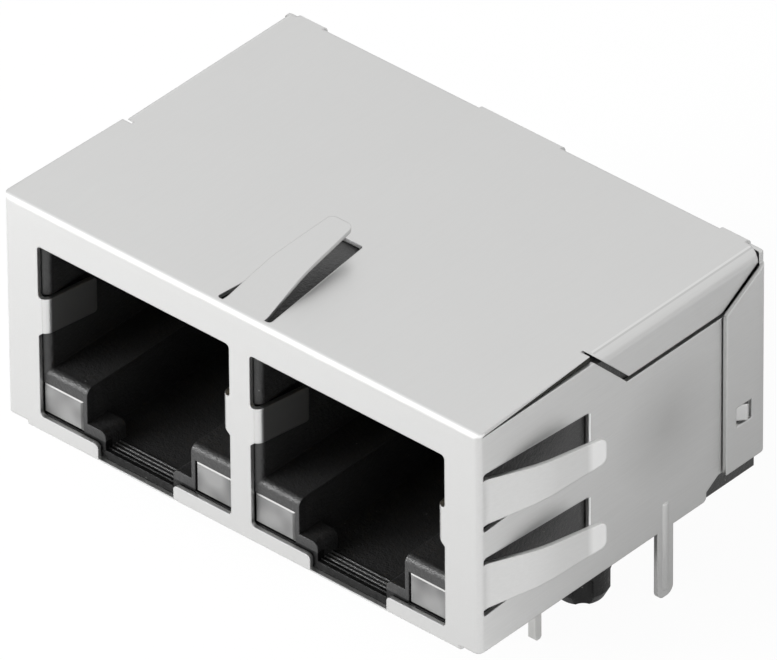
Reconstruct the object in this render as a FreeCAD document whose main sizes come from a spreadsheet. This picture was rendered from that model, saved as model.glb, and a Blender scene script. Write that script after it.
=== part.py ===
"""Two-port shielded board jack for 8-contact modular plugs, latch side down.

Millimetres. X runs across the ports, Y runs from the plug side to the rear, Z runs up from the
board. The origin is on the board, midway between the two locating pegs. Inside each body Y is
counted from the front face of the shield, and the body's Placement moves it to the pegs.
"""
import FreeCAD, Part

import math
import os
import re

import Sketcher

DIMENSIONS = [
    ("front_to_pegs", 10.7, "front face of the shield to the line of the locating pegs"),
    ("port_pitch", 13.97, "centre of one port to the centre of the other"),
    ("shield_width", 31.0, "outside width over the two side walls"),
    ("shield_depth", 21.1, "front face to rear face"),
    ("shield_top", 13.6, "board to the top face"),
    ("wall_bottom", 0.45, "board to the lower edge of the side walls"),
    ("sheet_gauge", 0.25, "thickness of the shield's sheet"),
    ("bend_radius", 0.35, "outside radius of the front and rear bends"),
    ("flap_bend_radius", 0.75, "outside radius of the bend between the top and its side flaps"),
    ("seam_gap", 0.1, "gap between neighbouring edges of the folded sheet"),
    ("opening_width", 12.65, "width of a port's opening in the front sheet"),
    ("opening_bottom", 1.1, "board to the lower edge of a port's opening"),
    ("opening_top", 11.38, "board to the upper edge of a port's opening"),
    ("opening_corner", 0.25, "corner radius of a port's opening"),
    ("notch_corner", 0.25, "corner radius where the opening steps down to the latch notch"),
    ("latch_notch_width", 5.0, "width of the notch for the plug's latch"),
    ("flange_lift", 0.03, "board to the underside of the folded bottom flange"),
    ("flange_half_width", 14.15, "middle of the jack to the end of the bottom flange"),
    ("flange_depth", 1.9, "front face to the rear edge of the bottom flange"),
    ("leaf_bottom", 6.2, "board to the lower edge of a port's contact leaf"),
    ("leaf_top", 8.25, "board to the upper edge of a port's contact leaf"),
    ("leaf_bend_radius", 0.45, "outside radius where a contact leaf turns into the port"),
    ("leaf_reach", 3.2, "front face to the rear end of a contact leaf"),
    ("leaf_lean", 0.5, "how far a contact leaf leans into the port at its end"),
    ("leaf_inset", 0.05, "clearance round a contact leaf"),
    ("leaf_tip_radius", 0.2, "corner radius at a contact leaf's end"),
    ("leaf_gusset", 0.26, "width and height of the gusset under a leaf's root"),
    ("leaf_root_radius", 0.2, "corner radius above a leaf's root"),
    ("leaf_room", 0.35, "depth of the recess in the housing that a leaf springs into"),
    ("finger_start", 0.35, "front face to the root of the spring fingers"),
    ("finger_root_width", 2.7, "width of a spring finger at its root"),
    ("finger_tip_width", 1.45, "width of a spring finger at its tip"),
    ("finger_knee", 3.6, "front face to the middle of a spring finger's flatter bend"),
    ("finger_end", 7.65, "front face to the tip of a spring finger"),
    ("finger_rise", 1.55, "how far a side spring finger stands out at its tip"),
    ("top_finger_rise", 1.45, "how far the top spring finger stands out at its tip"),
    ("finger_knee_share", 0.66, "how much of its rise a spring finger has at that bend"),
    ("finger_bend_radius", 0.9, "bend radius of a spring finger at its root"),
    ("finger_knee_radius", 9.0, "bend radius of a spring finger's flatter bend"),
    ("finger_root_flat", 0.3, "root of a spring finger to the middle of its first bend"),
    ("finger_tip_radius", 0.4, "corner radius of a spring finger's tip"),
    ("window_end", 8.13, "front face to the far end of a finger's window"),
    ("window_root_slot", 0.4, "slot beside a finger at its root"),
    ("side_window_taper", 0.52, "how much a side window narrows on each edge at its far end"),
    ("top_window_taper", 0.85, "how much the top window narrows on each edge at its far end"),
    ("window_corner", 0.2, "corner radius of a finger's window"),
    ("side_finger_height", 9.32, "board to the middle of the upper side finger"),
    ("side_finger_pitch", 5.03, "upper side finger to the lower one"),
    ("flap_start", 8.6, "front face to the start of the top's side flap"),
    ("flap_depth", 2.45, "top face to the lower edge of the side flap"),
    ("flap_seam", 0.28, "gap under the side flap"),
    ("edge_taper", 0.25, "how far the top's side edge draws in ahead of the flap"),
    ("edge_seam_gap", 0.06, "gap between that edge and the wall"),
    ("rear_flap_length", 3.1, "rear face to the front edge of the rear plate's flap"),
    ("rear_flap_radius", 0.55, "outside radius of the bend between the rear plate and its flap"),
    ("rear_flap_bottom", 1.5, "board to the lower edge of the rear plate and its flaps"),
    ("rear_flap_gap", 0.06, "gap between a side wall and the rear plate's flap"),
    ("rear_relief_outer", 13.0, "middle of the jack to the outer end of a rear relief slot"),
    ("rear_relief_inner", 2.65, "middle of the jack to the inner end of a rear relief slot"),
    ("rear_relief_height", 0.85, "top face to the lower edge of a relief slot"),
    ("rear_relief_depth", 0.4, "rear face to the front edge of a relief slot"),
    ("corner_cut_inset", 4.25, "rear face to the stepped corner at the wall's lower rear end"),
    ("corner_cut_step", 0.5, "height of that corner's first step"),
    ("corner_cut_slope", 0.9, "length of that corner's slope"),
    ("corner_cut_height", 1.08, "height of that corner above the wall's lower edge"),
    ("corner_cut_radius", 0.25, "corner radius where the wall's lower edge turns up"),
    ("lock_inset", 1.3, "front edge of the rear plate's flap to the middle of its lock window"),
    ("lock_height", 4.57, "board to the middle of a lock window"),
    ("lock_size", 1.15, "side of a lock window"),
    ("tail_middle", 13.8, "front face to the middle of a ground tail"),
    ("tail_width", 1.15, "width of a ground tail"),
    ("tail_length", 3.65, "board to the tip of a ground tail"),
    ("tail_tip_radius", 0.46, "corner radius of a ground tail's tip"),
    ("tail_bead_top", 2.0, "board to the top of a ground tail's pressed bead"),
    ("tail_bead_width", 0.77, "width of a ground tail's pressed bead"),
    ("tail_bead_height", 0.18, "how far a ground tail's pressed bead stands out"),
    ("tail_bead_radius", 0.23, "radius of the pressed bead's ridge"),
    ("housing_gap", 0.06, "gap between the housing and the sheet round it"),
    ("housing_bottom", 0.3, "board to the underside of the housing"),
    ("foot_side", 1.4, "side of a square stand-off foot"),
    ("foot_inset", 1.6, "wall or flange to the middle of the nearest foot"),
    ("cavity_width", 11.9, "width of a port's cavity"),
    ("cavity_top", 10.9, "board to the ceiling of a port's cavity"),
    ("cavity_depth", 13.9, "front face to the rear wall of a port's cavity"),
    ("ledge_height", 3.83, "board to the ledges beside the latch slot"),
    ("latch_slot_width", 6.9, "width of the latch slot between the ledges"),
    ("latch_floor", 0.75, "board to the floor of the latch slot"),
    ("latch_stop_gap", 4.5, "clear width between the two latch stops"),
    ("latch_stop_height", 1.8, "board to the top of a latch stop"),
    ("latch_stop_depth", 1.5, "length of a latch stop behind the housing's front"),
    ("latch_stop_corner", 0.35, "radius of a latch stop's upper inner corner"),
    ("mouth_radius", 0.42, "radius of the rounded edges at a port's mouth"),
    ("rib_height", 0.06, "height of the ribs across the latch floor"),
    ("rib_width", 0.12, "width of such a rib"),
    ("rib_pitch", 0.26, "one floor rib to the next"),
    ("well_width", 9.3, "width of the well for the contacts above a cavity"),
    ("well_start", 2.4, "front face to the front of the contact well"),
    ("well_top", 12.6, "board to the ceiling of the contact well"),
    ("lamp_offset", 5.05, "middle of a port to the middle of a lamp"),
    ("lamp_width", 2.6, "width of a lamp's window"),
    ("lamp_bottom", 1.18, "board to the lower face of a lamp"),
    ("lamp_top", 2.95, "board to the upper face of a lamp"),
    ("lamp_recess", 0.3, "front face of the shield to the front face of a lamp"),
    ("lamp_length", 5.2, "length of a lamp's body"),
    ("lamp_gap", 0.06, "gap between a lamp and its pocket"),
    ("lamp_bevel", 0.12, "bevel round a lamp's front face"),
    ("lamp_lead_pitch", 2.0, "one lead of a lamp to the other"),
    ("lamp_lead_row", 6.9, "front face to the row of lamp leads"),
    ("lamp_lead_side", 0.46, "side of a lamp lead's square section"),
    ("lamp_lead_gap", 0.12, "gap between a lamp lead and its channel"),
    ("lamp_lead_length", 3.55, "board to the tip of a lamp lead"),
    ("peg_spacing", 25.4, "one locating peg to the other"),
    ("peg_diameter", 3.05, "diameter of a locating peg"),
    ("peg_length", 2.9, "board to the end of a locating peg"),
    ("peg_shank", 1.3, "board to the start of a locating peg's grooves"),
    ("peg_groove_radius", 0.62, "radius of the grooves between a peg's ribs"),
    ("peg_groove_offset", 0.2, "surface of a peg to the middle of a groove, outside it"),
    ("peg_lead_in", 0.55, "height of the tapered end of a locating peg"),
    ("peg_end_inset", 0.28, "how much a locating peg's radius shrinks at its end"),
    ("contact_pitch", 1.016, "one spring contact to the next"),
    ("contact_width", 0.4, "width of a spring contact"),
    ("contact_gauge", 0.25, "thickness of a spring contact"),
    ("contact_run", 11.5, "board to the underside of a contact's upper run"),
    ("contact_nose", 3.3, "front face to the front bend of a spring contact"),
    ("contact_bend_radius", 0.55, "outside radius of a contact's front bend"),
    ("contact_turn", 0.88, "underside of a contact's upper run to where its leg turns back"),
    ("contact_free_end", 10.6, "front face to the free end of a spring contact"),
    ("contact_free_height", 8.5, "board to the free end of a spring contact"),
    ("contact_step_top", 10.0, "board to the start of a contact's sideways step"),
    ("contact_step", 1.8, "height over which a contact steps sideways to its tail"),
    ("tail_pitch", 1.27, "one solder tail to the next, across the two rows"),
    ("tail_row_front", 17.05, "front face to the front row of solder tails"),
    ("tail_row_rear", 19.59, "front face to the rear row of solder tails"),
    ("contact_tail_width", 0.42, "width of a solder tail"),
    ("contact_tail_length", 3.3, "board to the tip of a solder tail"),
    ("carrier_start", 14.5, "front face to the front of a contact carrier"),
    ("carrier_width", 11.2, "width of a contact carrier"),
    ("carrier_gap", 0.05, "gap between a contact carrier and the housing"),
    ("carrier_top", 12.55, "board to the top of a contact carrier"),
]

doc = FreeCAD.newDocument("board_jack")
sheet = doc.addObject("Spreadsheet::Sheet", "Dims")
for row, (alias, number, note) in enumerate(DIMENSIONS, start=1):
    sheet.set(f"A{row}", note)
    sheet.set(f"B{row}", str(number))
    sheet.setAlias(f"B{row}", alias)
doc.recompute()

ALIASES = {alias for alias, number, note in DIMENSIONS}
SNAP = 0.001  # two places nearer than this are the same one
SIDES = (-1, 1)
CONTACTS = 8
RIBS = 4


def bound(expression):
    """Writes the sheet's name in front of each alias in an expression."""
    def with_sheet(match):
        word = match.group()
        return "Dims." + word if word in ALIASES else word
    return re.sub(r"[a-z][a-z0-9_]*", with_sheet, str(expression))


def value(expression):
    """The number that an expression has now."""
    return float(sheet.evalExpression(bound(expression)))


def new_body(name):
    """A body whose own Y starts at the shield's front face."""
    body = doc.addObject("PartDesign::Body", name)
    body.Label = name
    body.setExpression("Placement.Base.y", bound("-front_to_pegs"))
    return body


def origin_plane(body, plane):
    return next(item for item in body.Origin.OriginFeatures if item.Role == plane + "_Plane")


def corner_frame(corners, radii, index):
    """Where the rounding of one corner starts and ends, its centre, and whether it turns left."""
    here = FreeCAD.Vector(*corners[index], 0)
    before = FreeCAD.Vector(*corners[index - 1], 0)
    after = FreeCAD.Vector(*corners[(index + 1) % len(corners)], 0)
    came = (here - before).normalize()
    goes = (after - here).normalize()
    turn = math.atan2(came.cross(goes).z, came.dot(goes))
    back = radii[index] * math.tan(abs(turn) / 2)
    start = here - came * back
    left = FreeCAD.Vector(-came.y, came.x, 0)
    centre = start + left * math.copysign(radii[index], turn)
    return start, here + goes * back, centre, turn > 0


def draw_outline(sketch, outline):
    """Draws a closed outline. A corner is (u, v), or (u, v, radius) where it is rounded."""
    corners = [(value(corner[0]), value(corner[1])) for corner in outline]
    radii = [value(corner[2]) if len(corner) > 2 else 0.0 for corner in outline]
    frames = [corner_frame(corners, radii, index) for index in range(len(corners))]
    first = sketch.GeometryCount
    lines = []
    for index, frame in enumerate(frames):
        following = frames[(index + 1) % len(frames)]
        lines.append(Part.LineSegment(frame[1], following[0]))
    sketch.addGeometry(lines, False)
    constraints = []
    sizes = []

    def pin(geometry, position, corner):
        for kind, coordinate in zip(("DistanceX", "DistanceY"), corner):
            sizes.append((len(constraints), coordinate))
            constraints.append(Sketcher.Constraint(kind, -1, 1, geometry, position, value(coordinate)))

    for index, (start, end, centre, turns_left) in enumerate(frames):
        line_in = first + (index - 1) % len(frames)
        line_out = first + index
        if radii[index] == 0:
            constraints.append(Sketcher.Constraint("Coincident", line_in, 2, line_out, 1))
            pin(line_out, 1, outline[index][:2])
            continue
        begin, finish = (start, end) if turns_left else (end, start)
        angles = [math.atan2(point.y - centre.y, point.x - centre.x) for point in (begin, finish)]
        circle = Part.Circle(centre, FreeCAD.Vector(0, 0, 1), radii[index])
        arc = sketch.addGeometry(Part.ArcOfCircle(circle, *angles), False)
        mark = sketch.addGeometry(Part.Point(FreeCAD.Vector(*corners[index], 0)), True)
        arc_in, arc_out = (1, 2) if turns_left else (2, 1)
        constraints.append(Sketcher.Constraint("Tangent", line_in, 2, arc, arc_in))
        constraints.append(Sketcher.Constraint("Tangent", arc, arc_out, line_out, 1))
        constraints.append(Sketcher.Constraint("PointOnObject", mark, 1, line_in))
        constraints.append(Sketcher.Constraint("PointOnObject", mark, 1, line_out))
        sizes.append((len(constraints), outline[index][2]))
        constraints.append(Sketcher.Constraint("Radius", arc, radii[index]))
        pin(mark, 1, outline[index][:2])
    numbers = sketch.addConstraint(constraints)
    for place, size in sizes:
        sketch.setExpression(f"Constraints[{numbers[place]}]", bound(size))


def draw_circle(sketch, across, along, radius):
    """Draws a circle whose centre and radius follow the sheet."""
    centre = FreeCAD.Vector(value(across), value(along), 0)
    circle = Part.Circle(centre, FreeCAD.Vector(0, 0, 1), value(radius))
    geometry = sketch.addGeometry(circle, False)
    constraints = [
        Sketcher.Constraint("DistanceX", -1, 1, geometry, 3, value(across)),
        Sketcher.Constraint("DistanceY", -1, 1, geometry, 3, value(along)),
        Sketcher.Constraint("Radius", geometry, value(radius)),
    ]
    numbers = sketch.addConstraint(constraints)
    for number, size in zip(numbers, (across, along, radius)):
        sketch.setExpression(f"Constraints[{number}]", bound(size))


def extrude(body, name, plane, low, high, outlines=(), circles=(), cut=False):
    """Pads or pockets outlines of an origin plane between two levels along its axis."""
    sketch = body.newObject("Sketcher::SketchObject", name + "_sketch")
    sketch.AttachmentSupport = (origin_plane(body, plane), [""])
    sketch.MapMode = "FlatFace"
    # The XZ plane looks along -Y, so its offset counts the other way
    against = plane == "XZ"
    level = high if cut != against else low
    sketch.setExpression("AttachmentOffset.Base.z", bound(f"-({level})" if against else level))
    for outline in outlines:
        draw_outline(sketch, outline)
    for circle in circles:
        draw_circle(sketch, *circle)
    feature = body.newObject("PartDesign::Pocket" if cut else "PartDesign::Pad", name)
    feature.Profile = sketch
    feature.setExpression("Length", bound(f"({high}) - ({low})"))
    return feature


def pocket(body, name, plane, low, high, outlines=(), circles=()):
    return extrude(body, name, plane, low, high, outlines, circles, cut=True)


def dress(body, kind, name, size_name, size, wanted):
    """Fillets or chamfers the edges of a body's last feature that a test picks."""
    doc.recompute()
    base = body.Tip
    edges = [f"Edge{number}" for number, edge in enumerate(base.Shape.Edges, start=1) if wanted(edge)]
    if not edges:
        raise RuntimeError(f"{name} finds no edge")
    feature = body.newObject("PartDesign::" + kind, name)
    feature.Base = (base, edges)
    feature.setExpression(size_name, bound(size))
    return feature


def fillet(body, name, radius, wanted):
    return dress(body, "Fillet", name, "Radius", radius, wanted)


def chamfer(body, name, size, wanted):
    return dress(body, "Chamfer", name, "Size", size, wanted)


def lies_at(edge, x=None, y=None, z=None):
    """Whether both ends of an edge have the coordinates given. X counts from the middle, either way."""
    points = [vertex.Point for vertex in edge.Vertexes]
    if x is not None and points[0].x * points[-1].x < 0:
        return False
    for point in points:
        for wanted, place in zip((x, y, z), (abs(point.x), point.y, point.z)):
            if wanted is not None and abs(wanted - place) > SNAP:
                return False
    return True


def box(left, right, low, high):
    """The outline of a plain rectangle."""
    return [(left, low), (right, low), (right, high), (left, high)]


def port_name(side):
    return "1" if side < 0 else "2"


def side_name(side):
    return "left" if side < 0 else "right"


def port_middle(side):
    return f"{side} * port_pitch / 2"


HALF = "shield_width / 2"
FRONT = "sheet_gauge + housing_gap"
REAR_FLAP = "(shield_depth - rear_flap_length)"
LOCK = f"({REAR_FLAP} + lock_inset)"


def folded_box(body):
    """Half of the sheet's front, top, wall and rear as a box with bent edges, open below and in the middle."""
    wide, deep = value(HALF), value("shield_depth")
    top, bottom = value("shield_top"), value("wall_bottom")
    extrude(body, "envelope", "XY", "wall_bottom", "shield_top", [box("0", HALF, "0", "shield_depth")])
    fillet(body, "bends", "bend_radius", lambda edge: (
        lies_at(edge, x=wide, y=0) or lies_at(edge, y=0, z=top) or lies_at(edge, y=deep, z=top)))
    doc.recompute()
    base = body.Tip
    removed = [f"Face{number}" for number, face in enumerate(base.Shape.Faces, start=1)
               if abs(face.BoundBox.ZMax - bottom) < SNAP or abs(face.BoundBox.XMax) < SNAP]
    shell = body.newObject("PartDesign::Thickness", "folded_box")
    shell.Base = (base, removed)
    shell.Mode = 0
    shell.Join = 0
    shell.Reversed = True
    shell.setExpression("Value", bound("sheet_gauge"))


def port_opening(body):
    """A port's opening with the notch for the latch, and the flange folded back under it."""
    left, right = (f"port_pitch / 2 {sign} opening_width / 2" for sign in "-+")
    notch_left, notch_right = (f"port_pitch / 2 {sign} latch_notch_width / 2" for sign in "-+")
    rim = "wall_bottom + sheet_gauge"
    flange_top = "flange_lift + sheet_gauge"
    extrude(body, "bottom_flange", "YZ", "0", "flange_half_width", [[
        ("0", rim),
        ("0", "flange_lift", "bend_radius"),
        ("flange_depth", "flange_lift"),
        ("flange_depth", flange_top),
        ("sheet_gauge", flange_top, "bend_radius - sheet_gauge"),
        ("sheet_gauge", rim),
    ]])
    pocket(body, "port_opening", "XZ", "-bend_radius", "sheet_gauge + bend_radius", [[
        (left, "opening_bottom", "opening_corner"),
        (notch_left, "opening_bottom", "notch_corner"),
        (notch_left, flange_top),
        (notch_right, flange_top),
        (notch_right, "opening_bottom", "notch_corner"),
        (right, "opening_bottom", "opening_corner"),
        (right, "leaf_bottom - leaf_gusset"),
        (f"{right} - leaf_gusset", "leaf_bottom"),
        (f"{right} - leaf_gusset", "leaf_top"),
        (right, "leaf_top", "leaf_root_radius"),
        (right, "opening_top", "opening_corner"),
        (left, "opening_top", "opening_corner"),
        (left, "leaf_top", "leaf_root_radius"),
        (f"{left} + leaf_gusset", "leaf_top"),
        (f"{left} + leaf_gusset", "leaf_bottom"),
        (left, "leaf_bottom - leaf_gusset"),
    ]])


def contact_leaf(side):
    """A sheet tongue at the side of a port, bent back into it to touch the plug's shield."""
    edge = f"port_pitch / 2 + {side} * opening_width / 2"
    turn = f"{edge} - {side} * (leaf_bend_radius + leaf_inset)"
    end = f"{turn} - {side} * leaf_lean"
    root = f"{edge} + {side} * leaf_bend_radius"
    body = new_body(f"{side_name(side)}_leaf")
    extrude(body, "bent_leaf", "XY", "leaf_bottom", "leaf_top", [[
        (root, "0"),
        (turn, "0", "leaf_bend_radius"),
        (end, "leaf_reach"),
        (f"{end} + {side} * sheet_gauge", "leaf_reach"),
        (f"{turn} + {side} * sheet_gauge", "sheet_gauge", "leaf_bend_radius - sheet_gauge"),
        (root, "sheet_gauge"),
    ]])
    reach, heights = value("leaf_reach"), (value("leaf_bottom"), value("leaf_top"))
    fillet(body, "leaf_tip", "leaf_tip_radius", lambda edge: any(
        lies_at(edge, y=reach, z=height) for height in heights))
    return body


def side_seams(body):
    """Parts the top's side flap from the wall below it and from the rear plate's flap."""
    low, high = f"{HALF} - flap_bend_radius - seam_gap", f"{HALF} + sheet_gauge"
    under_top = "shield_top - sheet_gauge"
    above = "shield_top + sheet_gauge"
    slant = "flap_seam * sqrt(2)"
    pocket(body, "edge_seam", "YZ", low, high, [
        box("bend_radius", "flap_start", f"{under_top} - edge_seam_gap", under_top)])
    pocket(body, "edge_taper", "XY", under_top, above, [[
        (high, "bend_radius"),
        (HALF, "bend_radius"),
        (f"{HALF} - edge_taper", "flap_start"),
        (high, "flap_start"),
    ]])
    pocket(body, "flap_seam", "YZ", low, high, [[
        (f"flap_start + sheet_gauge - {slant}", under_top),
        (f"flap_start + flap_depth + flap_seam - {slant}", "shield_top - flap_depth - flap_seam"),
        ("shield_depth + sheet_gauge", "shield_top - flap_depth - flap_seam"),
        ("shield_depth + sheet_gauge", above),
        ("shield_depth - bend_radius - seam_gap", above),
        ("shield_depth - bend_radius - seam_gap", "shield_top - flap_bend_radius - seam_gap"),
        (REAR_FLAP, "shield_top - flap_depth"),
        ("flap_start + flap_depth", "shield_top - flap_depth"),
        ("flap_start", "shield_top"),
        ("flap_start", above),
        (f"flap_start + sheet_gauge - {slant}", above),
    ]])
    pocket(body, "wall_end", "XY", "wall_bottom - sheet_gauge", "shield_top - flap_depth", [
        box(low, high, "shield_depth - sheet_gauge - seam_gap", "shield_depth + sheet_gauge")])


def side_flap_bend(body):
    """Rounds the bend between the top and its side flap, outside and inside."""
    wide, top, gauge = value(HALF), value("shield_top"), value("sheet_gauge")
    start = value("flap_start")

    def behind(edge):
        return edge.BoundBox.YMin > start - SNAP and edge.BoundBox.YLength > gauge

    fillet(body, "flap_bend", "flap_bend_radius", lambda edge: (
        lies_at(edge, x=wide, z=top) and behind(edge)))
    fillet(body, "flap_bend_inside", "flap_bend_radius - sheet_gauge", lambda edge: (
        lies_at(edge, x=wide - gauge, z=top - gauge) and behind(edge)))


def rear_edges(body):
    """The rear plate's lower edge, the relief beside its bend, and the wall's stepped lower corner."""
    before, behind = "shield_depth - sheet_gauge - seam_gap", "shield_depth + sheet_gauge"
    low = "wall_bottom - sheet_gauge"
    corner = "(shield_depth - corner_cut_inset)"
    pocket(body, "rear_lower_edge", "XZ", before, behind, [
        box("-sheet_gauge", f"{HALF} + sheet_gauge", low, "rear_flap_bottom")])
    pocket(body, "rear_relief", "XZ", "shield_depth - rear_relief_depth", behind, [
        box("rear_relief_inner", "rear_relief_outer", "shield_top - rear_relief_height", "shield_top + sheet_gauge")])
    pocket(body, "wall_corner", "YZ", f"{HALF} - sheet_gauge * 2", f"{HALF} + sheet_gauge", [[
        (corner, low),
        (corner, "wall_bottom + corner_cut_step"),
        (f"{corner} + corner_cut_slope", "wall_bottom + corner_cut_height"),
        (before, "wall_bottom + corner_cut_height"),
        (before, low),
    ]])
    corner_now, bottom_now = value(corner), value("wall_bottom")
    fillet(body, "wall_corner_round", "corner_cut_radius", lambda edge: (
        lies_at(edge, y=corner_now, z=bottom_now)))


def rear_flap():
    """The rear plate's end, bent forward round the wall, with the window that locks on the wall's lug."""
    inside = f"{HALF} + rear_flap_gap"
    outside = f"{inside} + sheet_gauge"
    half = "lock_size / 2"
    body = new_body("rear_flap")
    extrude(body, "bent_flap", "XY", "rear_flap_bottom", "shield_top - bend_radius", [[
        ("rear_relief_outer", "shield_depth - sheet_gauge"),
        (inside, "shield_depth - sheet_gauge", "rear_flap_radius - sheet_gauge"),
        (inside, REAR_FLAP),
        (outside, REAR_FLAP),
        (outside, "shield_depth", "rear_flap_radius"),
        ("rear_relief_outer", "shield_depth"),
    ]])
    pocket(body, "slope_and_lock_window", "YZ", HALF, f"{outside} + sheet_gauge", [
        [
            (f"{REAR_FLAP} - sheet_gauge", "shield_top - flap_depth - seam_gap"),
            (REAR_FLAP, "shield_top - flap_depth - seam_gap"),
            ("shield_depth - bend_radius", "shield_top - flap_bend_radius - seam_gap * 2"),
            ("shield_depth + sheet_gauge", "shield_top - flap_bend_radius - seam_gap * 2"),
            ("shield_depth + sheet_gauge", "shield_top + seam_gap"),
            (f"{REAR_FLAP} - sheet_gauge", "shield_top + seam_gap"),
        ],
        box(f"{LOCK} - {half}", f"{LOCK} + {half}", f"lock_height - {half}", f"lock_height + {half}"),
    ])
    return body


def lock_lug():
    """The wedge pressed out of the wall, which snaps into the rear flap's window."""
    half = "(lock_size / 2 - seam_gap)"
    root = f"{HALF} - sheet_gauge / 2"
    body = new_body("lock_lug")
    extrude(body, "wedge", "XY", f"lock_height - {half}", f"lock_height + {half}", [[
        (root, f"{LOCK} - {half}"),
        (f"{HALF} + rear_flap_gap + sheet_gauge + seam_gap", f"{LOCK} + {half} - sheet_gauge"),
        (root, f"{LOCK} + {half} - sheet_gauge"),
    ]])
    return body


def ground_tail():
    """A solder tail below the wall, stiffened by a pressed bead."""
    front, rear = (f"tail_middle {sign} tail_width / 2" for sign in "-+")
    bead_front, bead_rear = (f"tail_middle {sign} tail_bead_width / 2" for sign in "-+")
    root = f"{HALF} - sheet_gauge / 2"
    body = new_body("ground_tail")
    extrude(body, "flat_tail", "YZ", f"{HALF} - sheet_gauge", HALF, [[
        (front, "wall_bottom + sheet_gauge"),
        (front, "-tail_length", "tail_tip_radius"),
        (rear, "-tail_length", "tail_tip_radius"),
        (rear, "wall_bottom + sheet_gauge"),
    ]])
    extrude(body, "bead", "XY", "-tail_length + tail_tip_radius", "tail_bead_top", [[
        (root, bead_front),
        (f"{HALF} + tail_bead_height", "tail_middle", "tail_bead_radius"),
        (root, bead_rear),
    ]])
    return body


def on_wall(back, across):
    """A place on a side wall, as a point of the YZ plane."""
    return back, across


def on_top(back, across):
    """A place on the top, as a point of the XY plane."""
    return across, back


def finger_window(spot, middle, taper):
    """The tapered window in which a spring finger stands."""
    wide = "(finger_root_width / 2 + window_root_slot)"
    narrow = f"({wide} - {taper})"
    return [
        (*spot("finger_start", f"{middle} - {wide}"), "window_corner"),
        (*spot("window_end", f"{middle} - {narrow}"), "window_corner"),
        (*spot("window_end", f"{middle} + {narrow}"), "window_corner"),
        (*spot("finger_start", f"{middle} + {wide}"), "window_corner"),
    ]


def spring_finger(name, planes, spot, place, middle, rise, levels):
    """A bowed finger rooted at the near end of its window, trimmed to a tapered outline.

    planes are the one that shows the bow and the one that shows the outline. place turns
    (out from the sheet, back from the front) into a point of the first, and spot does it
    with (back, across) for the second.
    """
    root, tip = "finger_root_width / 2", "finger_tip_width / 2"
    around = f"({root} + window_root_slot)"
    near, far = "finger_start - sheet_gauge", "finger_end + sheet_gauge"
    rooted = "finger_start - sheet_gauge / 2"
    body = new_body(name)
    extrude(body, "bow", planes[0], f"{middle} - {root} - seam_gap", f"{middle} + {root} + seam_gap", [[
        place("0", "finger_start"),
        (*place("0", "finger_start + finger_root_flat"), "finger_bend_radius"),
        (*place(f"{rise} * finger_knee_share", "finger_knee"), "finger_knee_radius"),
        place(rise, "finger_end"),
        place(f"{rise} - sheet_gauge", "finger_end"),
        (*place(f"{rise} * finger_knee_share - sheet_gauge", "finger_knee"), "finger_knee_radius - sheet_gauge"),
        (*place("-sheet_gauge", "finger_start + finger_root_flat"), "finger_bend_radius + sheet_gauge"),
        place("-sheet_gauge", "finger_start"),
    ]])
    pocket(body, "outline", planes[1], *levels, [
        [spot(near, f"{middle} - {around}"), spot(far, f"{middle} - {around}"),
         spot(far, f"{middle} + {around}"), spot(near, f"{middle} + {around}")],
        [
            spot(rooted, f"{middle} - {root}"),
            spot("finger_start", f"{middle} - {root}"),
            (*spot("finger_end", f"{middle} - {tip}"), "finger_tip_radius"),
            (*spot("finger_end", f"{middle} + {tip}"), "finger_tip_radius"),
            spot("finger_start", f"{middle} + {root}"),
            spot(rooted, f"{middle} + {root}"),
        ],
    ])
    return body


def join(name, pieces):
    """Fuses pieces into one solid."""
    joined = doc.addObject("Part::MultiFuse", name)
    joined.Label = name
    joined.Shapes = pieces
    joined.Refine = True
    return joined


def build_shield():
    """The whole sheet: one half with its tongues, the same mirrored, and the finger on the top."""
    body = new_body("half_sheet")
    folded_box(body)
    port_opening(body)
    heights = ["side_finger_height", "(side_finger_height - side_finger_pitch)"]
    pocket(body, "side_windows", "YZ", f"{HALF} - sheet_gauge * 2", f"{HALF} + sheet_gauge", [
        finger_window(on_wall, height, "side_window_taper") for height in heights])
    pocket(body, "top_window", "XY", "shield_top - sheet_gauge * 2", "shield_top + sheet_gauge", [
        finger_window(on_top, "0", "top_window_taper")])
    side_seams(body)
    side_flap_bend(body)
    rear_edges(body)
    tongues = [contact_leaf(side) for side in SIDES]
    tongues += [rear_flap(), lock_lug(), ground_tail()]
    for row, height in enumerate(heights, start=1):
        tongues.append(spring_finger(
            f"side_finger_{row}", ("XY", "YZ"), on_wall, lambda out, back: (f"{HALF} + {out}", back),
            height, "finger_rise", (f"{HALF} - sheet_gauge * 2", f"{HALF} + finger_rise * 2")))
    half = join("shield_half", [body, *tongues])
    mirrored = doc.addObject("Part::Mirroring", "shield_other_half")
    mirrored.Source = half
    mirrored.Normal = FreeCAD.Vector(1, 0, 0)
    top_finger = spring_finger(
        "top_finger", ("YZ", "XY"), on_top, lambda out, back: (back, f"shield_top + {out}"),
        "0", "top_finger_rise", ("shield_top - sheet_gauge * 2", "shield_top + top_finger_rise * 2"))
    return join("shield", [half, mirrored, top_finger])


def lamp_middle(port, side):
    return f"({port_middle(port)} + {side} * lamp_offset)"


def lamp_leads(port, side):
    """The middle of each of a lamp's two leads."""
    return [f"({lamp_middle(port, side)} + {sign} * lamp_lead_pitch / 2)" for sign in SIDES]


def housing_block(body):
    """The moulded block that fills the shield, with its edges clear of the sheet's bends."""
    wide = f"({HALF} - sheet_gauge - housing_gap)"
    back, top = "shield_depth - sheet_gauge - housing_gap", "shield_top - sheet_gauge - housing_gap"
    extrude(body, "block", "XY", "housing_bottom", top, [box(f"-{wide}", wide, FRONT, back)])
    side_now, top_now = value(wide), value(top)
    chamfer(body, "top_edges", "flap_bend_radius - sheet_gauge", lambda edge: (
        lies_at(edge, x=side_now, z=top_now)))


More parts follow.
